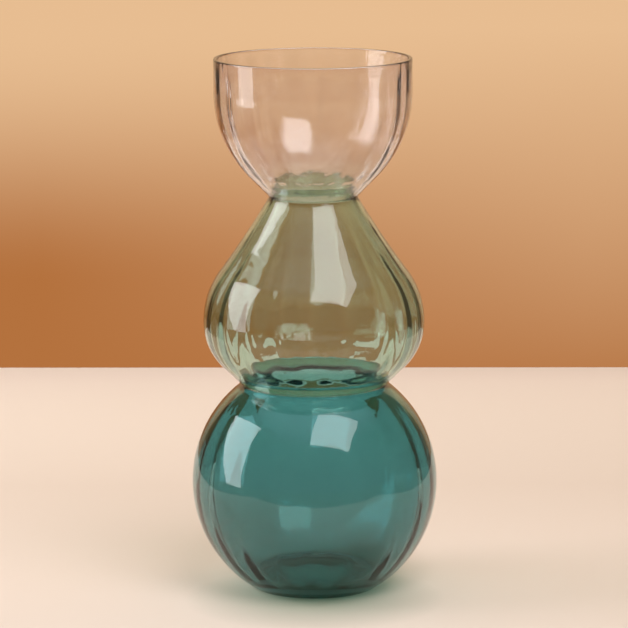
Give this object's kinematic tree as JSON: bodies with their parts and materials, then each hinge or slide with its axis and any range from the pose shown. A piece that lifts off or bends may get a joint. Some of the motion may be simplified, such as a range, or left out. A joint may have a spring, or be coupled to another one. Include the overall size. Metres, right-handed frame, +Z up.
{
  "type": "double gourd vase",
  "caption": "Tall free-standing glass vase: a flattened globe, a gourd and an open cup stacked through narrow necks, with one continuous hollow for flower stems.",
  "frame": {"origin": "centre of the foot, on the surface that the vase stands on", "axes": "+Z up along the vase's axis of revolution; +X and +Y are alike, because the vase is round"},
  "size_m": [0.138, 0.138, 0.3],
  "materials": {
    "base_glass": "fire polished, through-coloured teal",
    "gourd_glass": "fire polished, through-coloured olive grey",
    "cup_glass": "fire polished, pale rose",
    "clear_bond": "clear cured bond"
  },
  "bodies": {
    "root": {"base_globe": "base_glass", "lower_neck_bond": "clear_bond", "middle_gourd": "gourd_glass", "upper_neck_bond": "clear_bond", "top_cup": "cup_glass"}
  },
  "joints": []
}
